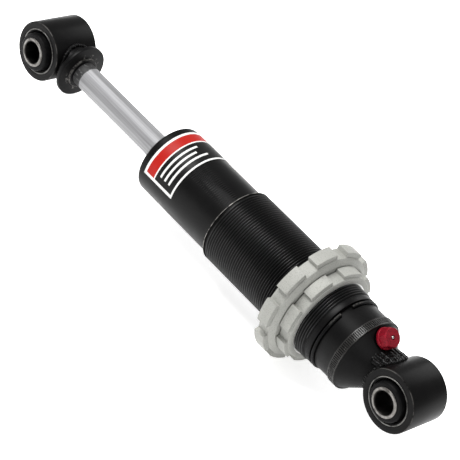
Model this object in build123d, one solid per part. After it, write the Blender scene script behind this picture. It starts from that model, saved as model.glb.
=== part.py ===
from build123d import *
import math
import os

# Gas-charged coil-over damper, without its spring. Millimetres.
# The origin is the centre of the body eye. +X runs along the shock to the rod eye,
# the eye bores lie along Y, and +Z is the side that carries the gas valve.
# The model stands fully extended; the rod moves towards -X as the shock compresses.

os.makedirs("parts", exist_ok=True)

# --- driving dimensions ------------------------------------------------------
stroke = 60.0

eye_od = 33.0
eye_wall = 3.75
body_eye_width = 25.0
rod_eye_width = 28.0
bush_shell_wall = 0.75
sleeve_bore = 12.1           # for an M12 bolt
sleeve_wall = 1.95
body_sleeve_overhang = 3.0   # sleeve past each side of the eye
rod_sleeve_overhang = 4.0
sleeve_edge = 0.5
rubber_recess = 0.8          # rubber below the eye's face
rubber_lip = 1.2             # rubber standing past the eye's face at the sleeve
rubber_lip_wall = 1.6
rubber_groove_width = 0.8
rubber_groove_depth = 1.4
weld_size = 1.6

tube_bore = 36.0
skirt_wall = 2.5
skirt_round = 2.0
thread_pitch = 1.5
thread_turns = 54
thread_step = 1.8            # thread crests above the skirt
thread_land = 0.3            # plain land that ends the thread at the skirt
collar_length = 3.4          # plain collar at the thread's lower end
collar_drop = 0.5            # collar below the thread's crests

neck_length = 2.7            # from the body eye to the foot of the dome
neck_od = 23.4
dome_slope = 42.5            # degrees from the shock axis
dome_step = 0.1              # dome's rim above the skirt's surface
knurl_length = 4.6
knurl_height = 0.8           # knurled band above the skirt's surface
knurl_count = 120
knurl_groove = 0.45
knurl_border = 0.6           # plain border on each side of the knurl
cap_collar_length = 10.0
cap_collar_step = 0.2
cap_groove_width = 3.0
cap_groove_drop = 0.5
cap_spigot_length = 13.5
cap_spigot_wall = 2.5
cap_floor = 3.0              # from the dome's rim to the cavity's corner
cap_core = 5.5               # radius of the flat at the cavity's tip
snap_wire = 1.8
snap_gap = 20.0              # degrees
snap_angle = 66.0            # middle of the gap, from +Y towards +Z

valve_drop = 4.5             # the valve's axis leaves the dome this far below its rim
valve_collar_od = 11.3
valve_collar_height = 1.8
valve_hex = 9.6              # across flats
valve_hex_height = 4.4
valve_hex_turn = -24.0       # degrees, from a corner on +Y towards the body eye
valve_crown = 0.5            # how far the crown cuts into the hexagon's corners
valve_seat_depth = 1.0
valve_spot_gap = 0.7
valve_washer_height = 0.8
valve_washer_od = 10.4
valve_shank_od = 7.0
valve_shank_length = 7.2
valve_core_od = 4.0
valve_core_cover = 1.2       # plug left over the valve core
valve_pin_od = 1.5
valve_pin_proud = 0.1
valve_travel = 0.8

ring_bore_gap = 0.06         # a ring's bore over the tube's thread crests
lock_place = 7.3             # lock ring above the thread's start
ring_gap = 0.5               # between the two rings
ring_shoulder = 0.6          # plain step between a ring's pads and its taper
preload_thickness = 9.5
preload_wall = 9.1           # thread crest to the valleys between the pads
preload_pad_height = 2.7
preload_pad_length = 7.1
preload_taper = 3.0
preload_pads = 10
preload_pad_angle = 23.5
preload_first_pad = 5.0      # middle of a pad, from +Y towards +Z
lock_thickness = 7.2
lock_wall = 3.7
lock_pad_height = 2.1
lock_pad_length = 6.2
lock_taper = 0.7
lock_pads = 8
lock_pad_angle = 29.0
lock_first_pad = 11.0

rod_od = 14.0
rod_spigot_od = 10.0
rod_chamfer = 0.8
rod_tip_gap = 0.4            # rod's tip to the rod eye's outside
rod_spigot_room = 0.2        # hole in the neck past the rod's tip
bump_room = 16.3             # flange to tube at full compression
flange_od = 30.6
flange_thickness = 2.5
boss_wall = 2.2
boss_height = 1.6
boss_round = 0.96
rod_neck_od = 21.0
rod_neck_length = 3.6

head_length = 21.0
head_recess = 6.2            # head's outer face below the end of the tube
head_lip = 0.5               # lip that stops the bushing
head_oring_place = 6.0
bushing_length = 12.0
bushing_wall = 1.9
seal_length = 5.0
seal_wall = 4.0
wiper_wall = 5.0
wiper_root = 1.6
wiper_lip = 1.2
circlip_thickness = 1.4
circlip_groove_depth = 1.1
circlip_wall = 2.8
circlip_opening = 40.0       # degrees
dust_cap_gap = 0.3
dust_cap_length = 3.6
dust_cap_wall = 1.2
dust_cap_hole_gap = 1.0
oring_section = 1.8

bumper_gap = 0.3
bumper_length = 3.7
bumper_wall = 3.5
washer_thickness = 1.0
washer_wall = 4.5
shim_thickness = 0.3
shim_count = 5
shim_step = 3.0
shim_cover = 0.25            # the largest shim past the ports
piston_length = 10.0
piston_band_width = 6.0
piston_band_wall = 1.5
piston_port_od = 4.0
piston_ports = 6
nut_across_flats = 16.0
nut_height = 6.0
rod_thread_past_nut = 1.5

float_length = 12.0
float_wall = 3.0
float_clear = 2.1            # floating piston to rod end at full compression
gas_clear = 1.7              # floating piston to end cap at full compression

label_width = 22.8
label_from_end = 4.9
label_start = -2.0           # from +Y towards +Z
label_sweep = 136.0
label_thickness = 0.15

slip = 0.05                  # radial clearance of a sliding or turning fit
seat = 0.02                  # radial clearance of a fixed fit

# --- diameters worked out from the sizes above ---------------------------------
bush_shell_od = eye_od - 2 * eye_wall
sleeve_od = sleeve_bore + 2 * sleeve_wall
body_sleeve_length = body_eye_width + 2 * body_sleeve_overhang
rod_sleeve_length = rod_eye_width + 2 * rod_sleeve_overhang
skirt_od = tube_bore + 2 * skirt_wall
thread_od = skirt_od + 2 * thread_step
collar_od = thread_od - 2 * collar_drop
cap_groove_od = skirt_od - 2 * cap_groove_drop
cap_collar_od = skirt_od + 2 * cap_collar_step
knurl_od = skirt_od + 2 * knurl_height
dome_top_od = skirt_od + 2 * dome_step
boss_od = rod_od + 2 * boss_wall
bushing_od = rod_od + 2 * bushing_wall
seal_od = rod_od + 2 * seal_wall
wiper_od = rod_od + 2 * wiper_wall
bumper_od = rod_od + 2 * bumper_wall
washer_od = rod_spigot_od + 2 * washer_wall
washer_bore = rod_spigot_od + 2 * seat
piston_od = tube_bore - 4 * slip
head_fit = tube_bore - 2 * slip
float_od = tube_bore - 2 * slip
band_od = tube_bore - 2 * slip
band_in = band_od - 2 * piston_band_wall
piston_port_circle = (washer_bore + band_in) / 2
largest_shim = piston_port_circle + piston_port_od + 2 * shim_cover

# --- places along the shock, from the body eye upwards --------------------------
neck_top = eye_od / 2 + neck_length
dome_top = neck_top + (dome_top_od - neck_od) / 2 / math.tan(math.radians(dome_slope))
knurl_top = dome_top + knurl_length
cap_groove_start = knurl_top + cap_collar_length
tube_start = cap_groove_start + cap_groove_width
spigot_end = tube_start + cap_spigot_length
thread_start = tube_start + collar_length
thread_end = thread_start + thread_turns * thread_pitch + thread_land
float_ratio = (rod_od / tube_bore) ** 2
float_bottom = spigot_end + gas_clear + stroke * float_ratio
float_top = float_bottom + float_length
rod_end = float_top + float_clear + stroke * (1 - float_ratio)
nut_top = rod_end + rod_thread_past_nut + nut_height
shim_stack = shim_thickness * shim_count
piston_bottom = nut_top + washer_thickness + shim_stack
piston_top = piston_bottom + piston_length
piston_shoulder = piston_top + shim_stack + washer_thickness
head_in = piston_shoulder + bumper_length + bumper_gap
head_out = head_in + head_length
tube_end = head_out + head_recess
shoulder = tube_end + bump_room + stroke
flange_near = shoulder + boss_height
flange_far = flange_near + flange_thickness
eye_spacing = flange_far + rod_neck_length + eye_od / 2
rod_tip = eye_spacing - eye_od / 2 - rod_tip_gap

nodes = {}


# --- shapes used more than once ----------------------------------------------
def turned(points, arc=360.0):
    """A solid turned about the shock axis from (x, radius) corners."""
    return revolve(make_face(Polyline(*points, close=True)), Axis.X, arc)


def tube(x_low, x_high, outer, inner=0.0, arc=360.0):
    """A tube along the shock, from its two diameters."""
    a, b = inner / 2, outer / 2
    return turned([(x_low, a), (x_high, a), (x_high, b), (x_low, b)], arc)


def eye_turned(points):
    """A solid turned about an eye's own axis from (radius, y) corners."""
    return revolve(make_face(Polyline(*points, close=True)), Axis.Y)


def eye_tube(width, outer, inner=0.0):
    """A tube along Y, centred on the eye."""
    a, b, w = inner / 2, outer / 2, width / 2
    return eye_turned([(a, -w), (b, -w), (b, w), (a, w)])


def oring(x, outer):
    """An O-ring round the shock axis whose outer diameter is given."""
    centre = outer / 2 - oring_section / 2
    return revolve(Pos(x, centre) * Circle(oring_section / 2), Axis.X)


def oring_groove(x, outer):
    """The groove that an O-ring of that outer diameter lies in."""
    half = oring_section / 2 + seat
    return tube(x - half, x + half, outer + 2, outer - 2 * oring_section - 2 * seat)


def eye_weld(neck, width, towards):
    """A saddle bead where a round neck along X meets the eye tube; towards is +1 or -1."""
    outside = tube(0, eye_od, neck + 2 * weld_size) & eye_tube(width, eye_od + 2 * weld_size)
    bead = outside - tube(0, eye_od, neck + 2 * seat) - eye_tube(width + 2, eye_od + 2 * seat)
    return bead if towards > 0 else mirror(bead, Plane.YZ)


def bush(width, length, centre, name):
    """Steel shell, bonded rubber and inner sleeve of one eye."""
    place = Pos(centre, 0, 0)
    shell_bore = bush_shell_od - 2 * bush_shell_wall
    nodes[name + "_bush_shell"] = place * eye_tube(width, bush_shell_od - 2 * seat, shell_bore)
    inner, outer = sleeve_od / 2 + slip, shell_bore / 2 - seat
    low, high = width / 2 - rubber_recess, width / 2 + rubber_lip
    lip = inner + rubber_lip_wall
    groove_in = (lip + outer) / 2 - rubber_groove_width / 2
    groove_out = groove_in + rubber_groove_width
    floor = low - rubber_groove_depth
    half = [(inner, high), (lip, high), (lip, low), (groove_in, low), (groove_in, floor)]
    half += [(groove_out, floor), (groove_out, low), (outer, low)]
    other_half = [(r, -y) for r, y in reversed(half)]
    nodes[name + "_bush_rubber"] = place * eye_turned(half + other_half)
    w, a, b = length / 2, sleeve_bore / 2, sleeve_od / 2
    edge = sleeve_edge
    corners = [(a + edge, w), (b - edge, w), (b, w - edge)]
    corners += [(b, edge - w), (b - edge, -w), (a + edge, -w)]
    nodes[name + "_bush_sleeve"] = place * eye_turned(corners + [(a, edge - w), (a, w - edge)])


# --- body tube: collar, thread and smooth skirt --------------------------------
def body_tube():
    depth = 0.613 * thread_pitch
    crest, root = thread_od / 2, thread_od / 2 - depth
    flat = thread_pitch / 8
    points = [(tube_start, tube_bore / 2), (tube_start, collar_od / 2)]
    points += [(thread_start, collar_od / 2), (thread_start, root)]
    for turn in range(thread_turns):
        x = thread_start + turn * thread_pitch
        rise = (thread_pitch - 3 * flat) / 2
        points += [(x + flat, root), (x + flat + rise, crest)]
        points += [(x + 2 * flat + rise, crest), (x + thread_pitch - flat, root)]
    x = thread_end - thread_land
    points += [(x, root), (x, crest), (thread_end, crest), (thread_end, tube_bore / 2)]
    threaded = turned(points)
    skirt = tube(thread_end, tube_end, skirt_od)
    end_edge = skirt.edges().filter_by(GeomType.CIRCLE).sort_by(Axis.X)[-1]
    skirt = fillet(end_edge, min(skirt_round, 0.8 * (skirt_od - tube_bore) / 2))
    skirt -= tube(thread_end - 1, tube_end + 1, tube_bore)
    groove_start = head_out
    groove = tube(groove_start, groove_start + circlip_thickness + 2 * seat,
                  tube_bore + 2 * circlip_groove_depth)
    return threaded + skirt - groove


nodes["body_tube"] = body_tube()


# --- end cap: spigot, snap ring groove, collar, knurled band, dome and neck ----
def end_cap():
    slope = math.tan(math.radians(dome_slope))
    spigot = tube_bore / 2 - seat
    cavity = tube_bore / 2 - cap_spigot_wall
    cavity_floor = dome_top + cap_floor
    tip = cavity_floor - (cavity - cap_core) / slope
    outline = [(0, 0), (0, neck_od / 2), (neck_top, neck_od / 2)]
    outline += [(dome_top, dome_top_od / 2), (dome_top, knurl_od / 2)]
    outline += [(knurl_top, knurl_od / 2), (knurl_top, cap_collar_od / 2)]
    outline += [(cap_groove_start, cap_collar_od / 2), (cap_groove_start, cap_groove_od / 2)]
    outline += [(tube_start, cap_groove_od / 2), (tube_start, spigot)]
    outline += [(spigot_end, spigot), (spigot_end, cavity), (cavity_floor, cavity)]
    outline += [(tip, cap_core), (tip, 0)]
    cap = turned(outline)
    cap -= eye_tube(neck_od + 4, eye_od + 2 * seat)
    groove_radius = knurl_od / 2
    middle = (dome_top + knurl_top) / 2
    groove = Pos(middle, groove_radius, 0) * Rot(X=45) * Box(
        knurl_length - 2 * knurl_border, knurl_groove * math.sqrt(2), knurl_groove * math.sqrt(2))
    cap -= [Rot(X=turn * 360 / knurl_count) * groove for turn in range(knurl_count)]
    return cap - oring_groove((tube_start + spigot_end) / 2, 2 * spigot)


# the valve leaves the dome square to its surface
valve_lean = math.radians(dome_slope)
valve_x = dome_top - valve_drop / math.tan(valve_lean)
valve_plane = Plane(
    origin=(valve_x, 0, dome_top_od / 2 - valve_drop),
    x_dir=(0, 1, 0),
    z_dir=(-math.sin(valve_lean), 0, math.cos(valve_lean)),
)


def along_valve(low, high, outer, inner=0.0):
    """A tube along the valve's axis; heights are above the dome's surface."""
    solid = Pos(0, 0, (low + high) / 2) * Cylinder(outer / 2, high - low)
    if inner:
        solid -= Pos(0, 0, (low + high) / 2) * Cylinder(inner / 2, high - low + 1)
    return solid


valve_seat = -valve_seat_depth
collar_low = valve_seat + valve_washer_height
hex_low = collar_low + valve_collar_height
hex_high = hex_low + valve_hex_height
shank_low = valve_seat - valve_shank_length
spot = along_valve(valve_seat, hex_high, valve_collar_od + 2 * valve_spot_gap)
valve_hole = along_valve(shank_low - valve_shank_length, hex_low, valve_shank_od + 2 * seat)
nodes["end_cap"] = end_cap() - valve_plane.location * (spot + valve_hole)
nodes["end_cap_oring"] = oring((tube_start + spigot_end) / 2, tube_bore - 2 * seat)
nodes["valve_washer"] = valve_plane.location * along_valve(
    valve_seat, collar_low, valve_washer_od, valve_shank_od + 2 * seat)

core_low, core_high = shank_low + valve_core_cover, hex_high - valve_core_cover
hexagon = Pos(0, 0, hex_low) * extrude(
    RegularPolygon(valve_hex / 2, 6, major_radius=False, rotation=valve_hex_turn), valve_hex_height)
hex_corners = valve_hex / math.cos(math.pi / 6)
crown_align = (Align.CENTER, Align.CENTER, Align.MAX)
crown = Pos(0, 0, hex_high) * Cone(
    valve_hex / 2 + valve_hex, hex_corners / 2 - valve_crown, valve_hex, align=crown_align)
plug = (hexagon & crown) + along_valve(collar_low, hex_low, valve_collar_od)
plug += along_valve(shank_low, collar_low, valve_shank_od)
plug -= along_valve(core_low, core_high, valve_core_od + 2 * seat)
plug -= along_valve(shank_low - 1, hex_high + 1, valve_pin_od + 4 * slip)
nodes["valve_plug"] = valve_plane.location * plug
nodes["valve_core"] = valve_plane.location * along_valve(
    core_low, core_high - slip, valve_core_od, valve_pin_od + 2 * slip)
nodes["valve_pin"] = valve_plane.location * along_valve(
    core_low + valve_travel, hex_high + valve_pin_proud, valve_pin_od)

snap_centre = (cap_groove_start + tube_start) / 2
snap = revolve(Pos(snap_centre, cap_groove_od / 2 + snap_wire / 2 + seat) * Circle(snap_wire / 2),
               Axis.X, 360 - snap_gap)
nodes["snap_ring"] = Rot(X=snap_angle + snap_gap / 2) * snap

# --- the two eyes ---------------------------------------------------------------
nodes["body_eye"] = eye_tube(body_eye_width, eye_od, bush_shell_od)
nodes["body_eye_weld"] = eye_weld(neck_od, body_eye_width, 1)
bush(body_eye_width, body_sleeve_length, 0, "body")

neck = tube(flange_far, eye_spacing, rod_neck_od) - tube(
    flange_far - 1, rod_tip + rod_spigot_room, rod_spigot_od + 2 * seat)
rod_eye = Pos(eye_spacing, 0, 0) * eye_tube(rod_eye_width, eye_od)
rod_eye = rod_eye + neck - Pos(eye_spacing, 0, 0) * eye_tube(rod_eye_width + 2, bush_shell_od)
nodes["rod_eye"] = rod_eye
nodes["rod_eye_weld"] = Pos(eye_spacing, 0, 0) * eye_weld(rod_neck_od, rod_eye_width, -1)
bush(rod_eye_width, rod_sleeve_length, eye_spacing, "rod")

# --- rod and the spring's stop flange --------------------------------------------
r, s = rod_od / 2, rod_spigot_od / 2
nodes["rod"] = turned([
    (rod_end, 0), (rod_end, s - rod_chamfer), (rod_end + rod_chamfer, s), (piston_shoulder, s),
    (piston_shoulder, r), (shoulder, r), (shoulder, s), (rod_tip, s), (rod_tip, 0)])
flange = tube(flange_near, flange_far, flange_od) + tube(shoulder, flange_near, boss_od)
boss_edge = flange.edges().filter_by(GeomType.CIRCLE).sort_by(Axis.X)[0]
flange = fillet(boss_edge, min(boss_round, 0.8 * boss_height, 0.8 * boss_wall))
flange -= tube(shoulder - 1, flange_far + 1, rod_spigot_od + 2 * seat)
nodes["rod_flange"] = flange

# --- seal head in the mouth of the tube ------------------------------------------
bushing_in = head_in + head_lip
seal_in = bushing_in + bushing_length
wiper_in = seal_in + seal_length
head = tube(head_in, head_out, head_fit, rod_od + 4 * slip)
head -= tube(bushing_in, seal_in, bushing_od + 2 * seat)
head -= tube(seal_in, wiper_in, seal_od + 2 * seat)
head -= tube(wiper_in, head_out + 1, wiper_od + 2 * seat)
head_ring = head_in + head_oring_place
nodes["seal_head"] = head - oring_groove(head_ring, head_fit)
nodes["seal_head_oring"] = oring(head_ring, head_fit)
nodes["rod_bushing"] = tube(bushing_in, seal_in, bushing_od, rod_od + 2 * slip)
nodes["rod_seal"] = tube(seal_in, wiper_in, seal_od, rod_od + 2 * slip)
wiper_bore = rod_od / 2 + slip
nodes["rod_wiper"] = turned([
    (wiper_in, wiper_bore + wiper_root), (wiper_in, wiper_od / 2), (head_out, wiper_od / 2),
    (head_out, wiper_bore + wiper_root), (head_out + wiper_lip, wiper_bore), (head_out, wiper_bore)])
clip_out = tube_bore / 2 + circlip_groove_depth - seat
clip = turned([
    (head_out + seat, clip_out - circlip_wall), (head_out + seat, clip_out),
    (head_out + circlip_thickness, clip_out), (head_out + circlip_thickness, clip_out - circlip_wall)],
    360 - circlip_opening)
nodes["head_circlip"] = Rot(X=circlip_opening / 2) * clip
dust_low = head_out + circlip_thickness + dust_cap_gap
dust_high = dust_low + dust_cap_length
dust_radius = tube_bore / 2 - seat
dust_hole = rod_od / 2 + dust_cap_hole_gap
nodes["dust_cap"] = turned([
    (dust_low, dust_radius - dust_cap_wall), (dust_low, dust_radius), (dust_high, dust_radius),
    (dust_high, dust_hole), (dust_high - dust_cap_wall, dust_hole),
    (dust_high - dust_cap_wall, dust_radius - dust_cap_wall)])

# --- piston stack on the rod's inner end ------------------------------------------
nodes["top_out_bumper"] = tube(
    piston_shoulder, piston_shoulder + bumper_length, bumper_od, rod_od + 2 * slip)
nodes["piston_washers"] = Compound(children=[
    tube(piston_shoulder - washer_thickness, piston_shoulder, washer_od, washer_bore),
    tube(nut_top, nut_top + washer_thickness, washer_od, washer_bore)])


def shims(face, step):
    """A stack of flat shims that starts at a piston face and narrows away from it."""
    stack = []
    for index in range(shim_count):
        a = face + step * index * shim_thickness
        b = a + step * shim_thickness
        stack.append(tube(min(a, b), max(a, b), largest_shim - index * shim_step, washer_bore))
    return Compound(children=stack)


nodes["compression_shims"] = shims(piston_top, 1)
nodes["rebound_shims"] = shims(piston_bottom, -1)
piston_middle = (piston_top + piston_bottom) / 2
band_half = piston_band_width / 2
piston = tube(piston_bottom, piston_top, piston_od, washer_bore)
piston -= tube(piston_middle - band_half - slip, piston_middle + band_half + slip,
               tube_bore, band_in - 2 * slip)
port = Pos(piston_middle, piston_port_circle / 2, 0) * Rot(Y=90) * Cylinder(
    piston_port_od / 2, piston_length + 1)
piston -= [Rot(X=turn * 360 / piston_ports) * port for turn in range(piston_ports)]
nodes["piston"] = piston
nodes["piston_band"] = tube(
    piston_middle - band_half, piston_middle + band_half, band_od, band_in)
nut = extrude(RegularPolygon(nut_across_flats / 2, 6, major_radius=False), nut_height)
nut -= Cylinder(washer_bore / 2, 3 * nut_height)
nodes["piston_nut"] = Pos(nut_top - nut_height, 0, 0) * Rot(Y=90) * nut

# --- floating piston between oil and gas -------------------------------------------
floater = tube(float_bottom, float_top, float_od)
floater -= tube(float_bottom - 1, float_top - float_wall, float_od - 4 * float_wall)
float_ring = float_top - float_length / 3
nodes["floating_piston"] = floater - oring_groove(float_ring, float_od)
nodes["floating_piston_oring"] = oring(float_ring, float_od)


# --- castellated rings on the thread -------------------------------------------------
def castellated(near, thickness, wall, pad_height, pad_length, taper, pads, pad_angle, first):
    """A C-spanner ring: pads round its far side, and a taper on its near side."""
    far = near + thickness
    pad_near = far - pad_length
    bore = thread_od / 2 + ring_bore_gap
    valley = thread_od / 2 + wall
    ring = turned([
        (near, bore), (near, valley - taper), (pad_near - ring_shoulder, valley),
        (far, valley), (far, bore)])
    pad = tube(pad_near, far, 2 * (valley + pad_height), 2 * (bore + wall / 2), pad_angle)
    start = first - pad_angle / 2
    return ring + [Rot(X=start + turn * 360 / pads) * pad for turn in range(pads)]


lock_near = thread_start + lock_place
preload_near = lock_near + lock_thickness + ring_gap
nodes["preload_ring"] = castellated(
    preload_near, preload_thickness, preload_wall, preload_pad_height, preload_pad_length,
    preload_taper, preload_pads, preload_pad_angle, preload_first_pad)
nodes["lock_ring"] = castellated(
    lock_near, lock_thickness, lock_wall, lock_pad_height, lock_pad_length,
    lock_taper, lock_pads, lock_pad_angle, lock_first_pad)

# --- label on the skirt ----------------------------------------------------------------
label_high = tube_end - label_from_end
label = tube(label_high - label_width, label_high, skirt_od + 2 * label_thickness + 2 * seat,
             skirt_od + 2 * seat, label_sweep)
nodes["label"] = Rot(X=label_start) * label

for name, shape in nodes.items():
    export_step(shape, f"parts/{name}.step")
print(f"eye spacing {eye_spacing:.3f}, tube {tube_start:.3f} to {tube_end:.3f}")
print(f"floating piston {float_bottom:.3f} to {float_top:.3f}, ratio {float_ratio:.6f}")
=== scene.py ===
import math
import random

import bmesh
import bpy
from mathutils import Matrix, Vector


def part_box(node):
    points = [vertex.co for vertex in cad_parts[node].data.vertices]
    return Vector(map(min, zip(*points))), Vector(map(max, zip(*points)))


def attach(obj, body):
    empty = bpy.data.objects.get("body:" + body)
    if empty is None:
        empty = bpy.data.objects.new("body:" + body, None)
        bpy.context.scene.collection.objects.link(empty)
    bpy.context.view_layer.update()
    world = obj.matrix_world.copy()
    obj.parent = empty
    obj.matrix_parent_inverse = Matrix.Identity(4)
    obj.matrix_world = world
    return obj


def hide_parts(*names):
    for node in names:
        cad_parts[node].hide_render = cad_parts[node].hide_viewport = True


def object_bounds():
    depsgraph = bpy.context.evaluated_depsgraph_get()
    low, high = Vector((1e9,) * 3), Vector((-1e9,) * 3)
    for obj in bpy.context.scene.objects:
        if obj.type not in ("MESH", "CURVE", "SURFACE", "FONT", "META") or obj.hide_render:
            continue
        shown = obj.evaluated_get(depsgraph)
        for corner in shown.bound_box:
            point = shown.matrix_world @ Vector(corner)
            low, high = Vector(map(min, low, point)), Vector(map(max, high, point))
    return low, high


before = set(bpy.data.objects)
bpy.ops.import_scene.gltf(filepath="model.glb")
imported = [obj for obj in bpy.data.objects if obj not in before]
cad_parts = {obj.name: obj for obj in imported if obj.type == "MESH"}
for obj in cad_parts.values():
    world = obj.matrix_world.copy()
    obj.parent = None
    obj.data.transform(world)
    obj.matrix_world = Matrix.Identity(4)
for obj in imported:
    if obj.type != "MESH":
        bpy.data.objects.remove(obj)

cad_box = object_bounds()
mm = 0.001

# --- Camera -----------------------------------------------------------------------
# A long lens looks down at the shock from beyond the body eye, with the rod eye
# away at the upper left.
camera_place = (-385.15 * mm, 723.59 * mm, 618.24 * mm)
camera_turn = (52.827, -18.450, -130.829)
bpy.ops.object.select_all(action="DESELECT")
bpy.ops.object.camera_add(
    location=camera_place, rotation=[math.radians(angle) for angle in camera_turn])
camera = bpy.context.object
camera.name = "camera"
camera.data.sensor_width = 36.0
camera.data.lens = 164.6
camera.data.clip_start = 0.05
bpy.context.scene.camera = camera

# --- Body tube --------------------------------------------------------------------
# Thick steel tube, turned from bar: a plain collar at the cap end, a long thread of
# 1.5 mm pitch for the two rings, and a smooth skirt with a rounded end. It is sprayed
# with black enamel, which gathers in the thread, with bright steel colour in patches on its shoulder.
tube_low, tube_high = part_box("body_tube")
ring_low, ring_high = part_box("lock_ring")
clip_low, clip_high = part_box("head_circlip")
thread_crest = tube_high.z
thread_depth = 0.92 * mm
thread_pitch = 1.5 * mm
thread_low = tube_low.x + 3.4 * mm
thread_high = tube_low.x + 84.2 * mm
land_high = thread_high + 0.5 * mm
collar_radius = thread_crest - 0.5 * mm
skirt_radius = 20.5 * mm
skirt_round = 2.0 * mm
bore_radius = 18.0 * mm
clip_groove = 1.1 * mm
thread_root = thread_crest - thread_depth


def draw(name, corners):
    """Starts a piece as one line of corners, left in edit mode for spin or screw."""
    bpy.ops.object.select_all(action="DESELECT")
    bpy.ops.mesh.primitive_circle_add(vertices=3, radius=mm, location=corners[0])
    piece = bpy.context.object
    piece.name = piece.data.name = name
    bpy.ops.object.transform_apply(location=True, rotation=False, scale=False)
    bpy.ops.object.mode_set(mode="EDIT")
    bpy.ops.mesh.select_mode(type="VERT")
    bpy.ops.mesh.select_all(action="SELECT")
    bpy.ops.mesh.merge(type="CENTER")
    for here, there in zip(corners, corners[1:]):
        step = Vector(there) - Vector(here)
        bpy.ops.mesh.extrude_vertices_move(TRANSFORM_OT_translate={"value": step})
    return piece


def close_up():
    """Joins the seams and poles of the piece being edited, and turns its faces outwards."""
    bpy.ops.mesh.select_all(action="SELECT")
    bpy.ops.mesh.remove_doubles(threshold=0.002 * mm)
    bpy.ops.mesh.normals_make_consistent(inside=False)
    bpy.ops.object.mode_set(mode="OBJECT")


def turned(name, outline, sides=128, axis="X", centre=0.0):
    """A turned piece: its outline of (place, radius) is spun round the shock's or an eye's axis."""
    if axis == "X":
        draw(name, [(place, radius, 0) for place, radius in outline])
    else:
        draw(name, [(centre + radius, place, 0) for place, radius in outline])
    bpy.ops.mesh.select_all(action="SELECT")
    direction = (-1, 0, 0) if axis == "X" else (0, 1, 0)
    bpy.ops.mesh.spin(steps=sides, angle=math.tau, center=(centre, 0, 0), axis=direction)
    close_up()
    return bpy.context.object


def arc(place, radius, size, first, last, steps=6):
    """Outline points round a corner: size is its radius, and the angles are in degrees."""
    angles = [math.radians(first + (last - first) * step / steps) for step in range(steps + 1)]
    return [(place + size * math.cos(a), radius + size * math.sin(a)) for a in angles]


def modify(piece, kind, **settings):
    """Adds one modifier to the piece and applies it."""
    bpy.ops.object.select_all(action="DESELECT")
    piece.select_set(True)
    bpy.context.view_layer.objects.active = piece
    bpy.ops.object.modifier_add(type=kind)
    modifier = piece.modifiers[-1]
    for name, value in settings.items():
        setattr(modifier, name, value)
    bpy.ops.object.modifier_apply(modifier=modifier.name)


def ease(piece, width, segments=3, angle=30.0):
    """Rounds the piece's sharp edges a little, and shades it smooth between them."""
    modify(piece, "BEVEL", width=width, segments=segments, limit_method="ANGLE",
           angle_limit=math.radians(angle), harden_normals=False)
    bpy.ops.object.shade_smooth_by_angle(angle=math.radians(angle))


def join(piece, *others):
    """Makes several closed shells one piece."""
    bpy.ops.object.select_all(action="DESELECT")
    for other in others:
        other.select_set(True)
    piece.select_set(True)
    bpy.context.view_layer.objects.active = piece
    bpy.ops.object.join()
    return piece


def pick(kind, test):
    """In edit mode, selects only the faces or edges that the test takes."""
    bpy.ops.mesh.select_mode(type=kind)
    bpy.ops.mesh.select_all(action="DESELECT")
    mesh = bmesh.from_edit_mesh(bpy.context.object.data)
    for item in mesh.faces if kind == "FACE" else mesh.edges:
        if test(item):
            item.select_set(True)
    bmesh.update_edit_mesh(bpy.context.object.data)


tube_outline = [
    (tube_low.x, bore_radius), (tube_low.x, collar_radius), (thread_low, collar_radius),
    (thread_low, thread_root), (thread_high, thread_root), (thread_high, thread_crest),
    (land_high, thread_crest), (land_high, skirt_radius)]
tube_outline += arc(tube_high.x - skirt_round, skirt_radius - skirt_round, skirt_round, 90, 0)
tube_outline += [
    (tube_high.x, bore_radius), (clip_high.x, bore_radius), (clip_high.x, bore_radius + clip_groove),
    (clip_low.x, bore_radius + clip_groove), (clip_low.x, bore_radius), (tube_low.x, bore_radius)]
body_tube = turned("body_tube_shell", tube_outline, sides=160)
ease(body_tube, 0.2 * mm)

# The thread is the outline of its ridge, screwed along the tube with its foot in the wall.
ridge = [(0.01, -0.15), (0.01, 0.0), (0.07, 0.04), (0.40, 0.90), (0.45, 0.98), (0.55, 0.98),
         (0.60, 0.90), (0.93, 0.04), (0.99, 0.0), (0.99, -0.15), (0.01, -0.15)]
thread = draw("thread", [
    (thread_low + along * thread_pitch, thread_root + height * thread_depth, 0)
    for along, height in ridge])
bpy.ops.mesh.select_all(action="SELECT")
bpy.ops.mesh.remove_doubles(threshold=0.002 * mm)
bpy.ops.object.mode_set(mode="OBJECT")
turns = (thread_high - thread_low) / thread_pitch - 1
modify(thread, "SCREW", axis="X", angle=math.tau * turns, screw_offset=thread_pitch * turns,
       steps=round(96 * turns), render_steps=round(96 * turns))
bpy.ops.object.mode_set(mode="EDIT")
pick("EDGE", lambda edge: len(edge.link_faces) == 1)
bpy.ops.mesh.fill_holes(sides=16)
close_up()
bpy.ops.object.shade_smooth_by_angle(angle=math.radians(60))
join(body_tube, thread)


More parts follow.
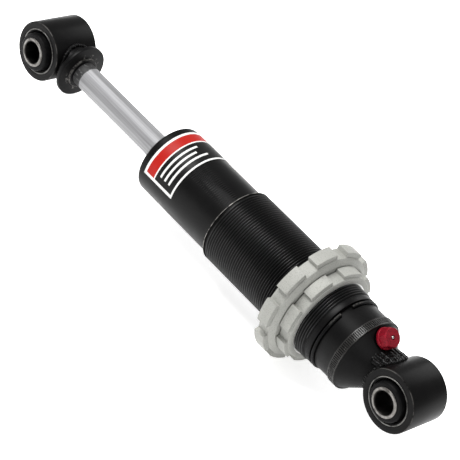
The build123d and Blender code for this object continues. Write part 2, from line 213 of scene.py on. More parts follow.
class Socket:
    """One output of a finish's nodes. Sums on it add Math nodes."""

    def __init__(self, tree, socket=None):
        self.tree = tree
        self.socket = socket

    def node(self, kind, settings=None, sockets=None, output=0):
        """Adds a node: first its settings, then the values or links of its sockets."""
        node = self.tree.nodes.new(kind)
        for name, value in (settings or {}).items():
            if name == "stops":
                for stop, (place, shade) in zip(node.color_ramp.elements, value):
                    stop.position = place
                    stop.color = (shade, shade, shade, 1)
            else:
                setattr(node, name, value)
        for name, value in (sockets or {}).items():
            if isinstance(value, Socket):
                self.tree.links.new(value.socket, node.inputs[name])
            else:
                node.inputs[name].default_value = value
        return Socket(self.tree, node.outputs[output])

    def sum(self, operation, a, b=0.0, c=0.0):
        return self.node("ShaderNodeMath", {"operation": operation}, {0: a, 1: b, 2: c})

    def __add__(self, other):
        return self.sum("ADD", self, other)

    def __radd__(self, other):
        return self.sum("ADD", other, self)

    def __sub__(self, other):
        return self.sum("SUBTRACT", self, other)

    def __rsub__(self, other):
        return self.sum("SUBTRACT", other, self)

    def __mul__(self, other):
        return self.sum("MULTIPLY", self, other)

    def __rmul__(self, other):
        return self.sum("MULTIPLY", other, self)

    def __gt__(self, other):
        return self.sum("GREATER_THAN", self, other)

    def __lt__(self, other):
        return self.sum("LESS_THAN", self, other)

    def part(self, name):
        """The x, y or z of a place."""
        return self.node("ShaderNodeSeparateXYZ", {}, {0: self}, "XYZ".index(name))

    def radius(self):
        """Distance of a place from the shock's axis."""
        across, up = self.part("Y"), self.part("Z")
        return self.sum("SQRT", across * across + up * up)

    def rise(self, low, high):
        """0 below low, 1 above high, and a smooth rise between them."""
        ramp = {"interpolation_type": "SMOOTHSTEP"}
        return self.node("ShaderNodeMapRange", ramp, {0: self, 1: low, 2: high, 3: 0.0, 4: 1.0})

    def grain(self, size, detail=3.0, stretch=(1, 1, 1)):
        """Cloudy noise from 0 to 1 at this place; size is its grain in metres."""
        place = self.node("ShaderNodeMapping", {}, {"Vector": self, "Scale": stretch})
        return self.node("ShaderNodeTexNoise", {}, {
            "Vector": place, "Scale": 1 / size, "Detail": detail, "Roughness": 0.6})

    def mixed(self, low, high):
        """A colour between two others, by this mask; each is a colour or a socket."""
        colours = [shade if isinstance(shade, Socket) else (*shade, 1) for shade in (low, high)]
        return self.node("ShaderNodeMix", {"data_type": "RGBA"},
                         {0: self, 6: colours[0], 7: colours[1]}, 2)


def new_finish(name, **constants):
    """A finish, its shader and the place on the piece; the constants are the shader's own."""
    finish = bpy.data.materials.new(name)
    finish.use_nodes = True
    shader = finish.node_tree.nodes["Principled BSDF"]
    for socket, value in constants.items():
        shader.inputs[socket.replace("_", " ")].default_value = value
    place = Socket(finish.node_tree).node("ShaderNodeTexCoord", output="Object")
    return finish, shader, place


def coat(shader, height, depth, **sockets):
    """Lays colour, roughness or metal on a shader, with a height map of that depth in metres."""
    for name, value in sockets.items():
        height.tree.links.new(value.socket, shader.inputs[name.replace("_", " ")])
    bump = height.node("ShaderNodeBump", {}, {"Strength": 1.0, "Distance": depth, "Height": height})
    height.tree.links.new(bump.socket, shader.inputs["Normal"])


def black_enamel(name, wear_and_highlight=None, marks=None, roughness=0.33, crests=None):
    """Sprayed black enamel. bare is a mask of bright steel colour: worn steel, and on some pieces a painted
    highlight. marks is a height map for the spray, and crests a mask of edges rubbed to a gloss."""
    finish, shader, place = new_finish(name, Specular_IOR_Level=0.07, Coat_Roughness=0.08)
    clouds = place.grain(9 * mm)
    dust = place.grain(0.5 * mm, 2).rise(0.70, 0.80) * 0.5
    peel = place.grain(1.1 * mm, 2)
    colour = clouds.mixed((0.0014, 0.0014, 0.0016), (0.0036, 0.0035, 0.0034))
    colour = dust.mixed(colour, (0.016, 0.0155, 0.0145))
    gloss = roughness + 0.14 * clouds + 0.10 * dust
    height = marks(place, peel) if marks else peel
    if wear_and_highlight:
        worn_and_highlight = wear_and_highlight(place)
        # Bright steel colour from the mask: worn steel, and on some pieces a painted highlight.
        colour = worn_and_highlight.mixed(colour, (0.32, 0.31, 0.29))
        coat(shader, height, 0.012 * mm, Base_Color=colour, Roughness=gloss - 0.06 * worn_and_highlight,
             Metallic=worn_and_highlight)
    else:
        coat(shader, height, 0.012 * mm, Base_Color=colour, Roughness=gloss)
    if crests:
        place.tree.links.new(crests(place).socket, shader.inputs["Coat Weight"])
    return finish


def tube_land_bright(place):
    """The land at the thread's shoulder, bright steel colour in patches."""
    edge = (place.radius() > thread_crest - 0.12 * mm) * (place.part("X") > thread_high + 0.1 * mm)
    return edge * place.grain(4 * mm).rise(0.30, 0.62) * 0.8


def thread_crests(place):
    """The thread's crests, where the rings have rubbed the enamel to a gloss."""
    along = place.part("X")
    on_thread = (along > thread_low + 0.2 * mm) * (along < thread_high)
    return place.radius().rise(thread_root + 0.60 * mm, thread_crest - 0.04 * mm) * on_thread * 0.5


def skirt_lines(place, peel):
    """Fine turning lines on the top of the skirt. The thread has no orange peel."""
    along = place.part("X")
    lines = place.sum("SINE", along * (math.tau / (1.36 * mm))) * 0.5
    lines_high = 161 * mm
    stretch = along.rise(land_high, land_high + 3 * mm) * (1 - along.rise(lines_high, lines_high + 2 * mm))
    patches = place.grain(6 * mm, 2, (0.2, 1, 1)).rise(0.25, 0.6)
    across = place.sum("ARCTAN2", place.part("Z"), place.part("Y"))
    top = across.rise(math.radians(42), math.radians(50))
    top = top * (1 - across.rise(math.radians(66), math.radians(76)))
    return peel * along.rise(thread_high, land_high) + lines * stretch * patches * top * 26


def fit(piece, finish, body, slot, *nodes):
    """Puts the finished piece on its body, in place of its CAD nodes."""
    piece.data.materials.clear()
    piece.data.materials.append(finish)
    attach(piece, body)
    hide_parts(*nodes)


fit(body_tube, black_enamel("tube_enamel", tube_land_bright, skirt_lines, 0.31, thread_crests),
    "damper_body", "black_paint", "body_tube")

# --- End cap ----------------------------------------------------------------------
# Turned steel plug that closes the gas end: a spigot with an O-ring, a collar, a knurled
# grip and a dome that runs down to the neck of the eye. Black enamel over all of it.
cap_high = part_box("end_cap")[1]
eye_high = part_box("body_eye")[1]
eye_radius = eye_high.z
ring_groove = 20.0 * mm
cap_collar = 20.7 * mm
knurl_radius = 21.3 * mm
knurl_count = 120
knurl_low = 28.9 * mm
knurl_high = 33.5 * mm
groove_low = 43.5 * mm
dome_radius = 20.6 * mm
dome_slope = 42.5
neck_radius = 11.7 * mm
neck_top = 19.2 * mm
cavity_radius = 15.5 * mm
spigot_radius = bore_radius - 0.02 * mm
oring_low, oring_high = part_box("end_cap_oring")
oring_groove = spigot_radius - 1.8 * mm

dome_outline = [(neck_top - 6.5 * mm, 0), (neck_top - 6.5 * mm, neck_radius)]
dome_outline += arc(neck_top - 1.2 * mm, neck_radius + 1.2 * mm, 1.2 * mm, -90, -90 + dome_slope, 4)
dome_outline += [(knurl_low - 1.0 * mm, dome_radius - 0.95 * mm),
                 (knurl_low - 0.4 * mm, dome_radius - 0.45 * mm)]
cap_outline = dome_outline + [
    (knurl_low, dome_radius), (knurl_low, knurl_radius), (knurl_low + 0.6 * mm, knurl_radius),
    (knurl_high - 0.6 * mm, knurl_radius), (knurl_high, knurl_radius),
    (knurl_high, cap_collar), (groove_low, cap_collar), (groove_low, ring_groove),
    (tube_low.x, ring_groove), (tube_low.x, spigot_radius),
    (oring_low.x, spigot_radius), (oring_low.x, oring_groove),
    (oring_high.x, oring_groove), (oring_high.x, spigot_radius),
    (cap_high.x, spigot_radius), (cap_high.x, cavity_radius),
    (knurl_low + 3 * mm, cavity_radius), (knurl_low - 8 * mm, 5.5 * mm), (knurl_low - 8 * mm, 0)]
cap_outline.append(cap_outline[0])
end_cap = turned("end_cap_shell", cap_outline, sides=2 * knurl_count)

# Every other face of the grip is pressed in, which leaves the ribs of the knurl.
bpy.ops.object.mode_set(mode="EDIT")


def knurl_groove(face):
    middle = face.calc_center_median()
    step = math.atan2(middle.z, middle.y) / math.tau * 2 * knurl_count
    on_grip = knurl_low + 0.6 * mm < middle.x < knurl_high - 0.6 * mm
    return on_grip and abs(face.normal.x) < 0.1 and math.hypot(middle.y, middle.z) > cap_collar \
        and math.floor(step) % 2 == 0


pick("FACE", knurl_groove)
bpy.ops.mesh.inset(thickness=0.02 * mm, depth=-0.45 * mm, use_individual=True)
bpy.ops.object.mode_set(mode="OBJECT")


def carve(piece, tool, operation="DIFFERENCE"):
    """Cuts the tool out of the piece, or joins or keeps what they share, and removes the tool."""
    modify(piece, "BOOLEAN", object=tool, operation=operation, solver="EXACT")
    bpy.data.objects.remove(tool)


def cylinder(radius, depth, place, turn, sides=96):
    """A bar about its own axis, with its place and turn put into the mesh."""
    bpy.ops.object.select_all(action="DESELECT")
    bpy.ops.mesh.primitive_cylinder_add(
        vertices=sides, radius=radius, depth=depth, location=place, rotation=turn)
    bpy.ops.object.transform_apply(location=True, rotation=True, scale=True)
    return bpy.context.object


# The neck is coped to the eye tube, and the valve sits in a flat spot face on the dome.
lying = (math.pi / 2, 0, 0)
coping_length = 40 * mm
carve(end_cap, cylinder(eye_radius, coping_length, (0, 0, 0), lying))
valve_lean = math.radians(dome_slope)
valve_axis = Vector((-math.sin(valve_lean), 0, math.cos(valve_lean)))
valve_drop = 4.5 * mm
valve_foot = Vector((knurl_low - valve_drop / math.tan(valve_lean), 0, dome_radius - valve_drop))
valve_turn = (0, -valve_lean, 0)
spot_radius = 6.35 * mm
spot_depth = 1.0 * mm
spot_height = 6.0 * mm
carve(end_cap, cylinder(spot_radius, spot_height,
                        valve_foot + valve_axis * (spot_height / 2 - spot_depth), valve_turn))
ease(end_cap, 0.10 * mm, segments=2, angle=35)


def cap_wear_and_sheen(place):
    """The knurl's lower edge, where the tool marks shine through, and the tops of its ribs: rubbed patches,
    and an even painted sheen.
    """
    along, radius = place.part("X"), place.radius()
    edge = (along < knurl_low + 0.28 * mm) * (radius > dome_radius + 0.25 * mm)
    ribs = (along < knurl_high) * (radius > knurl_radius - 0.05 * mm)
    # Rib tops: rubbed patches, plus a constant painted sheen on every rib.
    rubbed_and_sheen = place.grain(2 * mm).rise(0.56, 0.74) * 0.18 + 0.04
    return edge * place.grain(3 * mm).rise(0.40, 0.62) * 0.07 + ribs * rubbed_and_sheen


def cap_ribs(place):
    """The tops of the knurl's ribs, where hands and tools have rubbed them to a gloss."""
    return place.radius().rise(knurl_radius - 0.15 * mm, knurl_radius - 0.05 * mm) * 0.18


fit(end_cap, black_enamel("cap_enamel", cap_wear_and_sheen, crests=cap_ribs), "damper_body", "black_paint", "end_cap")

# --- Snap ring --------------------------------------------------------------------
# Round spring wire, snapped into the groove between cap and tube, with its cut ends
# apart on the upper side. Beside the gap the wire has pliers scratches and a painted highlight along its
# outside.
snap_low, snap_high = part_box("snap_ring")
snap_wire = (snap_high.x - snap_low.x) / 2
snap_radius = snap_high.z - snap_wire
snap_first = math.radians(76)
snap_sweep = math.radians(340)
bpy.ops.object.select_all(action="DESELECT")
bpy.ops.mesh.primitive_circle_add(
    vertices=16, radius=snap_wire, rotation=(snap_first, 0, 0),
    location=((snap_low.x + snap_high.x) / 2, snap_radius * math.cos(snap_first),
              snap_radius * math.sin(snap_first)))
snap_ring = bpy.context.object
snap_ring.name = snap_ring.data.name = "snap_ring_wire"
bpy.ops.object.transform_apply(location=True, rotation=True, scale=True)
bpy.ops.object.mode_set(mode="EDIT")
bpy.ops.mesh.select_all(action="SELECT")
bpy.ops.mesh.spin(steps=136, angle=snap_sweep, center=(0, 0, 0), axis=(-1, 0, 0))
pick("EDGE", lambda edge: len(edge.link_faces) == 1)
bpy.ops.mesh.fill_holes(sides=16)
close_up()
ease(snap_ring, 0.12 * mm, segments=2, angle=50)


def snap_wire_scratches_and_highlight(place):
    """The wire beside its gap, bright in patches along its outside: scratches from the pliers, and a
    painted highlight.
    """
    across = place.sum("ARCTAN2", place.part("Z"), place.part("Y"))
    off = place.sum("ABSOLUTE", across - math.radians(66))
    outside = place.radius() > snap_radius + 0.80 * snap_wire
    # Painted highlight, with scratches: bright steel colour along the wire's outside near the gap.
    return (1 - off.rise(math.radians(18), math.radians(36))) * outside * \
        place.grain(1.2 * mm).rise(0.40, 0.62) * 0.14


fit(snap_ring, black_enamel("snap_ring_oxide", snap_wire_scratches_and_highlight), "damper_body", "spring_steel", "snap_ring")

# --- Eyes and their bushes ----------------------------------------------------------
# Each eye is a length of thick tube, welded across the shock, with a bush pressed in: a
# thin steel shell, a ring of rubber bonded to it, and a turned steel sleeve for the bolt.
rod_eye_low, rod_eye_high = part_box("rod_eye")
rod_centre = rod_eye_high.x - eye_radius
shell_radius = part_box("body_bush_shell")[1].z
shell_bore = shell_radius - 0.75 * mm
sleeve_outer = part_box("body_bush_sleeve")[1].z
sleeve_bore = 6.05 * mm
rubber_low = 0.8 * mm
rubber_short = 0.5 * mm


def eye_tube(name, centre, half):
    outline = [(-half, shell_radius), (-half, eye_radius), (half, eye_radius), (half, shell_radius)]
    piece = turned(name, outline + outline[:1], 144, "Y", centre)
    ease(piece, 0.5 * mm, segments=4)
    return piece


def steel_finish(name, dark, light, rings, roughness, bore_centre=None):
    """Turned or drawn steel with tool marks and stains. A bolt bore is painted near black, a painted shade.
    """
    finish, shader, place = new_finish(name, Metallic=1.0)
    stains = place.grain(3.5 * mm).rise(0.35, 0.75)
    tool = place.grain(rings, 2)
    colour = stains.mixed(light, dark)
    if bore_centre is not None:
        along = place.part("X") - bore_centre
        up = place.part("Z")
        out = place.sum("SQRT", along * along + up * up)
        # Painted shade: the bolt bore and the inner edge of the sleeve's end are darkened.
        bore_painted_shade = 1 - out.rise(sleeve_bore + 0.3 * mm, sleeve_bore + 0.8 * mm)
        colour = bore_painted_shade.mixed(colour, (0.020, 0.019, 0.018))
    coat(shader, tool + place.grain(0.4 * mm, 2), 0.01 * mm, Base_Color=colour,
         Roughness=roughness + 0.22 * stains)
    return finish


shell_steel = steel_finish("shell_steel", (0.03, 0.03, 0.029), (0.13, 0.128, 0.122), 0.3 * mm, 0.34)
pin_steel = steel_finish("pin_steel", (0.30, 0.30, 0.29), (0.60, 0.59, 0.57), 0.3 * mm, 0.25)
rubber, shader, place = new_finish("bush_rubber", Specular_IOR_Level=0.06)
bloom = place.grain(3 * mm).rise(0.45, 0.8)
coat(shader, place.grain(0.3 * mm), 0.03 * mm,
     Base_Color=bloom.mixed((0.0016, 0.0016, 0.0018), (0.0050, 0.0049, 0.0048)),
     Roughness=0.45 + 0.2 * bloom)


def bush(end, centre, body, sleeve_body):
    """The shell, rubber and sleeve of one eye, on the bodies that they move with."""
    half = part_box(end + "_bush_shell")[1].y
    outline = [(-half, shell_bore), (-half, shell_radius), (half, shell_radius), (half, shell_bore)]
    shell = turned(end + "_bush_steel_shell", outline + outline[:1], 128, "Y", centre)
    ease(shell, 0.18 * mm)
    fit(shell, shell_steel, body, "bush_steel", end + "_bush_shell")
    sleeve_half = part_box(end + "_bush_sleeve")[1].y
    face = half - rubber_low
    inside = sleeve_outer + 0.02 * mm
    outside = shell_bore - 0.02 * mm
    tip = sleeve_half - rubber_short
    dip = face - 1.5 * mm
    side = [(tip, inside), (tip - 0.3 * mm, inside + 1.9 * mm), (tip - 0.9 * mm, inside + 2.4 * mm)]
    side += [(face - 0.2 * mm, inside + 2.5 * mm), (dip, inside + 2.7 * mm), (dip, inside + 3.0 * mm)]
    side += [(face - 0.1 * mm, inside + 3.3 * mm), (face, outside)]
    outline = side + [(-place, radius) for place, radius in reversed(side)]
    pad = turned(end + "_bush_rubber_ring", outline + outline[:1], 128, "Y", centre)
    ease(pad, 0.3 * mm)
    fit(pad, rubber, body, "bush_rubber", end + "_bush_rubber")
    outline = [(-sleeve_half, sleeve_bore), (-sleeve_half, sleeve_outer),
               (sleeve_half, sleeve_outer), (sleeve_half, sleeve_bore)]
    sleeve = turned(end + "_bush_steel_sleeve", outline + outline[:1], 128, "Y", centre)
    ease(sleeve, 0.45 * mm)
    steel = steel_finish(end + "_sleeve_steel", (0.070, 0.066, 0.061), (0.19, 0.182, 0.172), 0.25 * mm,
                         0.34, centre)
    fit(sleeve, steel, sleeve_body, "plated_steel", end + "_bush_sleeve")


def eye_enamel_and_highlight(name, centre, half):
    """Enamel for one eye, with a painted highlight in patches along the rounded edge of each face."""

    def edges(place):
        along, up = place.part("X") - centre, place.part("Z")
        out = place.sum("SQRT", along * along + up * up)
        # Painted highlight: bright steel colour in patches along the rounded rim of each face.
        rim = out.rise(eye_radius - 0.50 * mm, eye_radius - 0.20 * mm)
        side = place.sum("ABSOLUTE", place.part("Y")).rise(half - 0.50 * mm, half - 0.20 * mm)
        return rim * side * place.grain(5 * mm).rise(0.35, 0.60) * 0.16

    return black_enamel(name, edges, roughness=0.29)


body_eye = eye_tube("body_eye_tube", 0.0, eye_high.y)
fit(body_eye, eye_enamel_and_highlight("body_eye_enamel", 0.0, eye_high.y), "damper_body", "black_paint", "body_eye")
rod_eye = eye_tube("rod_eye_tube", rod_centre, rod_eye_high.y)
rod_neck = 10.5 * mm
neck_bore = 5.02 * mm
neck_high = rod_centre - 13.2 * mm
neck_outline = [(rod_eye_low.x, neck_bore), (rod_eye_low.x, rod_neck),
                (neck_high, rod_neck), (neck_high, neck_bore)]
neck = turned("rod_eye_neck", neck_outline + neck_outline[:1], 96)
ease(neck, 0.3 * mm)
carve(neck, cylinder(eye_radius - 0.3 * mm, coping_length, (rod_centre, 0, 0), lying))
bpy.ops.object.shade_smooth_by_angle(angle=math.radians(30))
join(rod_eye, neck)
fit(rod_eye, eye_enamel_and_highlight("rod_eye_enamel", rod_centre, rod_eye_high.y), "rod_assembly", "black_paint",
    "rod_eye")
bush("body", 0.0, "damper_body", "body_sleeve")
bush("rod", rod_centre, "rod_assembly", "rod_sleeve")

# --- Weld beads ---------------------------------------------------------------------
# Where each neck meets its eye tube, a bead runs round the joint in overlapping lumps.
# On the upper side of the body eye, more beads are laid lengthwise down the neck, which
# leaves a thick fillet there. The enamel went on over it.
random.seed(7)


def weld_bead(name, centre, towards, neck_size, lumps, runs):
    """Lumps of weld round the saddle where a neck meets an eye, melted into one bead. Each run
    is an angle at which a row of lumps leads down the neck."""
    bpy.ops.object.select_all(action="DESELECT")
    places = [(math.tau * turn / lumps, 0.0, random.uniform(1.15, 1.45)) for turn in range(lumps)]
    for run in runs:
        places += [(math.radians(run + random.uniform(-1.5, 1.5)), step / 9, random.uniform(1.3, 1.6))
                   for step in range(10)]
    for index, (angle, down, size) in enumerate(places):
        reach = neck_size + random.uniform(0.0, 0.3) * mm
        if index >= lumps:
            reach += (1.0 - down) * 1.1 * mm
        across, up = reach * math.cos(angle), reach * math.sin(angle)
        along = math.sqrt(max(eye_radius ** 2 - up ** 2, (3 * mm) ** 2)) + 0.25 * mm + down * 8 * mm
        bpy.ops.mesh.primitive_uv_sphere_add(
            segments=12, ring_count=8, radius=size * mm,
            location=(centre + towards * along, across, up))
        if index == 0:
            bead = bpy.context.object
            bead.name = bead.data.name = name
            bpy.ops.object.transform_apply(location=True, rotation=True, scale=True)
            bpy.ops.object.mode_set(mode="EDIT")
    bpy.ops.object.mode_set(mode="OBJECT")
    modify(bead, "REMESH", mode="VOXEL", voxel_size=0.28 * mm)
    modify(bead, "SMOOTH", factor=0.5, iterations=3)
    bpy.ops.object.shade_smooth()
    return bead


weld_enamel = black_enamel("weld_enamel", roughness=0.22)
body_weld = weld_bead("body_eye_weld_bead", 0.0, 1, neck_radius, 46, range(46, 140, 13))
fit(body_weld, weld_enamel, "damper_body", "black_paint", "body_eye_weld")
rod_weld = weld_bead("rod_eye_weld_bead", rod_centre, -1, rod_neck, 42, ())
fit(rod_weld, weld_enamel, "rod_assembly", "black_paint", "rod_eye_weld")

# --- Preload ring and lock ring -------------------------------------------------------
# Two die-cast aluminium rings on the thread, left as cast and lightly blasted. Pads
# round each one take a C-spanner. Their bores are machined, with a bright chamfer.
preload_low, preload_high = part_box("preload_ring")
ring_bore = thread_crest + 0.06 * mm


def castellated(name, low, high, pad_height, pad_length, taper, pads, pad_sweep, first_pad):
    """A cast ring: one pad and one gap are spun, the pad is raised, and both are repeated round
    the thread. The pad's sweep and the first one's place are in degrees."""
    far = high.x
    pad_near = far - pad_length
    valley = max(high.y, high.z) - pad_height
    start = math.radians(first_pad - pad_sweep / 2)
    outline = [(low.x, ring_bore), (low.x, valley - taper), (pad_near - 0.6 * mm, valley),
               (pad_near, valley), (far, valley), (far, ring_bore), (low.x, ring_bore)]
    ring = draw(name, [(place, radius * math.cos(start), radius * math.sin(start))
                       for place, radius in outline])
    sweep = math.radians(pad_sweep)
    gap = math.tau / pads - sweep
    axis = {"center": (0, 0, 0), "axis": (-1, 0, 0)}
    bpy.ops.mesh.select_all(action="SELECT")
    bpy.ops.mesh.spin(steps=8, angle=sweep, **axis)
    pick("EDGE", lambda edge: len(edge.link_faces) == 1 and all(
        abs(math.atan2(end.co.z, end.co.y) - start - sweep) < 0.001 for end in edge.verts))
    bpy.ops.mesh.spin(steps=5, angle=gap, **axis)

    def pad_top(face):
        middle = face.calc_center_median()
        angle = math.atan2(middle.z, middle.y) - start
        out = math.hypot(middle.y, middle.z) > valley - 0.2 * mm
        return out and middle.x > pad_near and abs(face.normal.x) < 0.1 and angle < sweep

    pick("FACE", pad_top)
    bpy.ops.mesh.normals_make_consistent(inside=False)
    bpy.ops.mesh.extrude_region_shrink_fatten(TRANSFORM_OT_shrink_fatten={"value": pad_height})
    bpy.ops.mesh.select_all(action="SELECT")
    bpy.ops.mesh.spin(steps=pads - 1, angle=math.tau * (pads - 1) / pads, dupli=True, **axis)
    close_up()
    ease(ring, 0.2 * mm, segments=3)
    return ring


cast_ring, shader, place = new_finish("cast_ring", Specular_IOR_Level=0.4)
clouds = place.grain(7 * mm)
pores = place.grain(0.55 * mm, 4)
machined = (place.radius() < ring_bore + 0.7 * mm) * 1.0
tone = clouds.mixed((0.235, 0.238, 0.219), (0.305, 0.305, 0.283))
tone = (pores.rise(0.50, 0.68) * 0.6).mixed(tone, (0.16, 0.16, 0.147))
coat(shader, pores * (1 - machined), 0.16 * mm, Base_Color=machined.mixed(tone, (0.72, 0.72, 0.70)),
     Roughness=0.52 - 0.2 * machined + 0.1 * clouds, Metallic=0.15 + 0.6 * machined)

preload_ring = castellated("preload_ring_casting", preload_low, preload_high, 2.7 * mm, 7.1 * mm,
                           3.0 * mm, 10, 23.5, 5)
fit(preload_ring, cast_ring, "preload_collar", "cast_ring", "preload_ring")
lock_ring = castellated("lock_ring_casting", ring_low, ring_high, 2.1 * mm, 6.2 * mm,
                        0.7 * mm, 8, 29, 11)
fit(lock_ring, cast_ring, "lock_collar", "cast_ring", "lock_ring")

# --- Gas valve ------------------------------------------------------------------------
# Red anodised aluminium plug: a round collar with a hexagon on it for a spanner, screwed
# into the dome on a sealing washer. The valve's steel pin stands in the middle of it.
collar_size = 5.65 * mm
collar_height = 1.8 * mm
hex_flat = 4.8 * mm      # from the axis to each flat
hex_corner = hex_flat / math.cos(math.radians(30))
hex_height = 4.4 * mm
hex_turn = math.radians(-24)
washer_height = 0.8 * mm
hex_overlap = 0.5 * mm
crown_radius = hex_corner - 0.75 * mm
crown_flare = 6.0 * mm
shank_radius = 3.5 * mm
shank_length = 7.2 * mm
shank_overlap = 0.1 * mm
pin_bore = 0.95 * mm
counterbore = 1.3 * mm
counterbore_depth = 0.6 * mm
washer_radius = 5.2 * mm
washer_foot = -spot_depth
collar_foot = washer_foot + washer_height
hex_foot = collar_foot + collar_height
hex_top = hex_foot + hex_height


def on_valve(height):
    return valve_foot + valve_axis * height


turned_lean = Matrix.Rotation(-valve_lean, 4, "Y") @ Matrix.Rotation(hex_turn, 4, "Z")
plug = cylinder(hex_corner, hex_height + hex_overlap, on_valve((hex_foot + hex_top - hex_overlap) / 2),
                turned_lean.to_euler(), sides=6)
plug.name = plug.data.name = "valve_plug_hexagon"
bpy.ops.object.select_all(action="DESELECT")
bpy.ops.mesh.primitive_cone_add(
    vertices=96, radius1=crown_radius + crown_flare, radius2=crown_radius,
    depth=crown_flare, location=on_valve(hex_top - crown_flare / 2), rotation=valve_turn)
bpy.ops.object.transform_apply(location=True, rotation=True, scale=True)
carve(plug, bpy.context.object, "INTERSECT")
ease(plug, 0.25 * mm, segments=3, angle=25)
collar = cylinder(collar_size, collar_height, on_valve((collar_foot + hex_foot) / 2), valve_turn)
ease(collar, 0.4 * mm, segments=4)
carve(plug, collar, "UNION")
shank_span = shank_length + washer_height
shank = cylinder(shank_radius, shank_span, on_valve(collar_foot + (shank_overlap - shank_span) / 2),
                 valve_turn, sides=48)
carve(plug, shank, "UNION")
carve(plug, cylinder(pin_bore, 30 * mm, valve_foot, valve_turn, sides=32))
carve(plug, cylinder(counterbore, 2 * counterbore_depth, on_valve(hex_top), valve_turn, sides=32))
bpy.ops.object.mode_set(mode="EDIT")
close_up()
bpy.ops.object.shade_smooth_by_angle(angle=math.radians(25))

red_anodised, shader, place = new_finish("red_anodised", Specular_IOR_Level=0.3)
clouds = place.grain(1.6 * mm)
specks = place.grain(0.45 * mm).rise(0.50, 0.66)
coat(shader, place.grain(0.5 * mm), 0.03 * mm,
     Base_Color=(specks * 0.8).mixed(clouds.mixed((0.14, 0.001, 0.007), (0.31, 0.003, 0.017)),
                                     (0.04, 0.001, 0.004)),
     Roughness=0.34 + 0.2 * clouds, Metallic=0.35 + 0.2 * clouds)
fit(plug, red_anodised, "damper_body", "red_anodised", "valve_plug")

pin_radius = 0.75 * mm
pin_low = -3.0 * mm
pin_high = hex_top + 0.1 * mm
pin = cylinder(pin_radius, pin_high - pin_low, on_valve((pin_low + pin_high) / 2), valve_turn, sides=24)
pin.name = pin.data.name = "valve_pin_steel"
ease(pin, 0.3 * mm, segments=3)
fit(pin, pin_steel, "valve_stem", "plated_steel", "valve_pin")

washer = cylinder(washer_radius, washer_height, on_valve((washer_foot + collar_foot) / 2), valve_turn, 64)
washer.name = washer.data.name = "valve_washer_ring"
carve(washer, cylinder(shank_radius + 0.02 * mm, 4 * mm, on_valve(washer_foot), valve_turn, 48))
ease(washer, 0.2 * mm)
fit(washer, rubber, "damper_body", "seal_rubber", "valve_washer")

# --- Rod and its stop flange ------------------------------------------------------------
# Hard-chromed steel rod, ground along its length, with a smaller spigot at each end. Its
# last few millimetres beside the flange were sprayed black together with the flange. The
# light and dark streaks along its colour are painted reflections.
rod_low, rod_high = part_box("rod")
flange_low, flange_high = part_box("rod_flange")
rod_radius = 7.0 * mm
spigot = 5.0 * mm
piston_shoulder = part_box("piston_washers")[1].x
rod_outline = [
    (rod_low.x, 0), (rod_low.x, spigot - 0.8 * mm), (rod_low.x + 0.8 * mm, spigot),
    (piston_shoulder, spigot), (piston_shoulder, rod_radius), (flange_low.x, rod_radius),
    (flange_low.x, spigot), (rod_high.x, spigot), (rod_high.x, 0)]
rod = turned("damper_rod", rod_outline, 128)
bpy.ops.object.shade_smooth_by_angle(angle=math.radians(30))

chromed_rod, shader, place = new_finish("chromed_rod")
grind_streaks_and_painted_reflection = place.grain(0.9 * mm, 4, (0.012, 1, 1))
broad_painted_reflection = place.grain(3.2 * mm, 2, (0.02, 1, 1))
edge = place.part("X") + place.grain(2 * mm) * (0.8 * mm)
scraped = place.grain(1.3 * mm, 3, (0.3, 1, 1)).rise(0.56, 0.70) * 0.35
painted = edge.rise(flange_low.x - 5.3 * mm, flange_low.x - 4.9 * mm) * (1 - scraped)
# Painted reflection: the lengthwise light and dark streaks in the steel's colour. In the bump and roughness
# they are grinding marks.
steel = (0.65 * grind_streaks_and_painted_reflection + 0.35 * broad_painted_reflection).rise(0.32, 0.68).mixed((0.185, 0.185, 0.19), (0.335, 0.335, 0.34))
coat(shader, grind_streaks_and_painted_reflection, 0.006 * mm, Base_Color=painted.mixed(steel, (0.006, 0.006, 0.006)),
     Roughness=0.60 + 0.10 * grind_streaks_and_painted_reflection, Metallic=(1 - painted) * 0.75)
fit(rod, chromed_rod, "rod_assembly", "chromed_rod", "rod")

flange_radius = flange_high.z
flange_bore = spigot + 0.02 * mm
boss_radius = 9.2 * mm
plate_low = flange_high.x - 2.5 * mm
flange_outline = [(flange_low.x, flange_bore)]
flange_outline += arc(flange_low.x + 0.9 * mm, boss_radius - 0.9 * mm, 0.9 * mm, 180, 90, 4)
flange_outline += [
    (plate_low, boss_radius), (plate_low, flange_radius), (flange_high.x, flange_radius),
    (flange_high.x, flange_bore), (flange_low.x, flange_bore)]
flange = turned("rod_stop_flange", flange_outline, 144)
ease(flange, 0.4 * mm)


def flange_wear_and_highlight(place):
    """A painted highlight round the boss's rim, and scuffs on the plate beside it, where the enamel has
    gone.
    """
    along, radius = place.part("X"), place.radius()
    rim = radius.rise(boss_radius - 0.7 * mm, boss_radius - 0.2 * mm) * (along < plate_low - 0.3 * mm)
    plate = (radius < boss_radius + 2.2 * mm) * (along > plate_low - 0.2 * mm)
    plate = plate * (along < plate_low + 0.3 * mm)
    # The rim term is a painted highlight; the plate term is scuffed wear.
    return rim * place.grain(2.5 * mm).rise(0.40, 0.60) * 0.25 + \
        plate * place.grain(2.2 * mm).rise(0.54, 0.70) * 0.3


fit(flange, black_enamel("flange_enamel", flange_wear_and_highlight), "rod_assembly", "black_paint", "rod_flange")

